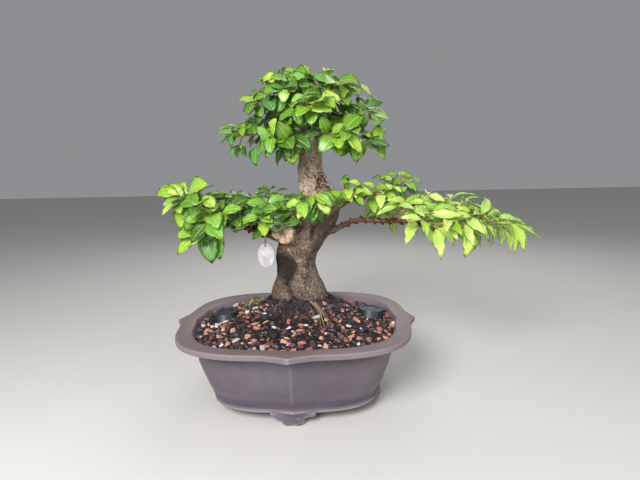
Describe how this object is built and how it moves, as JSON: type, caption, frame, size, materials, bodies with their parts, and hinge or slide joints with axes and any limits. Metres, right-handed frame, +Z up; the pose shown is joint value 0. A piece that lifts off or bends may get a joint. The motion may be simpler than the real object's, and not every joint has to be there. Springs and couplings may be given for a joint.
{
  "type": "privet bonsai",
  "caption": "Trained privet bonsai with a leaning, swollen trunk and long level branches, planted in gravel soil in a lobed clay pot that stands on low bracket feet.",
  "frame": {"origin": "under the middle of the part's bounding box, on the surface that the pot's feet stand on", "axes": "+Z up along the tree, +X to the long branch on the right as seen from the front, -Y to the front that the picture shows"},
  "size_m": [0.4576, 0.2814, 0.4089],
  "materials": {
    "clay": "matte",
    "gravel": "matte",
    "bark": "matte",
    "leaf": "satin",
    "copper_wire": "satin",
    "cap_plastic": "satin",
    "feed_cake": "matte",
    "tag_white": "satin",
    "steel_wire": "satin",
    "net": "matte"
  },
  "bodies": {
    "root": {"drainage_mesh_left": "net", "drainage_mesh_right": "net", "feed_cake_left": "feed_cake", "feed_cake_right": "feed_cake", "feed_cap_left": "cap_plastic", "feed_cap_right": "cap_plastic", "foliage_back_side": "leaf", "foliage_back_tip": "leaf", "foliage_crown_brow": "leaf", "foliage_crown_east": "leaf", "foliage_crown_front": "leaf", "foliage_crown_left": "leaf", "foliage_crown_north": "leaf", "foliage_crown_northeast": "leaf", "foliage_crown_northwest": "leaf", "foliage_crown_peak_left": "leaf", "foliage_crown_peak_right": "leaf", "foliage_crown_rear": "leaf", "foliage_crown_right": "leaf", "foliage_crown_shoulder": "leaf", "foliage_crown_south": "leaf", "foliage_crown_southeast": "leaf", "foliage_crown_tip": "leaf", "foliage_crown_west": "leaf", "foliage_front_inner": "leaf", "foliage_left_front": "leaf", "foliage_left_inner": "leaf", "foliage_left_low": "leaf", "foliage_left_rear": "leaf", "foliage_left_tip": "leaf", "foliage_left_upper": "leaf", "foliage_right_back": "leaf", "foliage_right_front": "leaf", "foliage_right_mid": "leaf", "foliage_right_outer": "leaf", "foliage_right_rear": "leaf", "foliage_right_side": "leaf", "foliage_right_tip": "leaf", "foliage_upper_front": "leaf", "foliage_upper_mid": "leaf", "foliage_upper_rear": "leaf", "foliage_upper_tip": "leaf", "pot": "clay", "soil": "gravel", "tag": "tag_white", "tag_wire": "steel_wire", "trunk": "bark", "wire_left": "copper_wire", "wire_right": "copper_wire", "wire_upper": "copper_wire"}
  },
  "joints": []
}
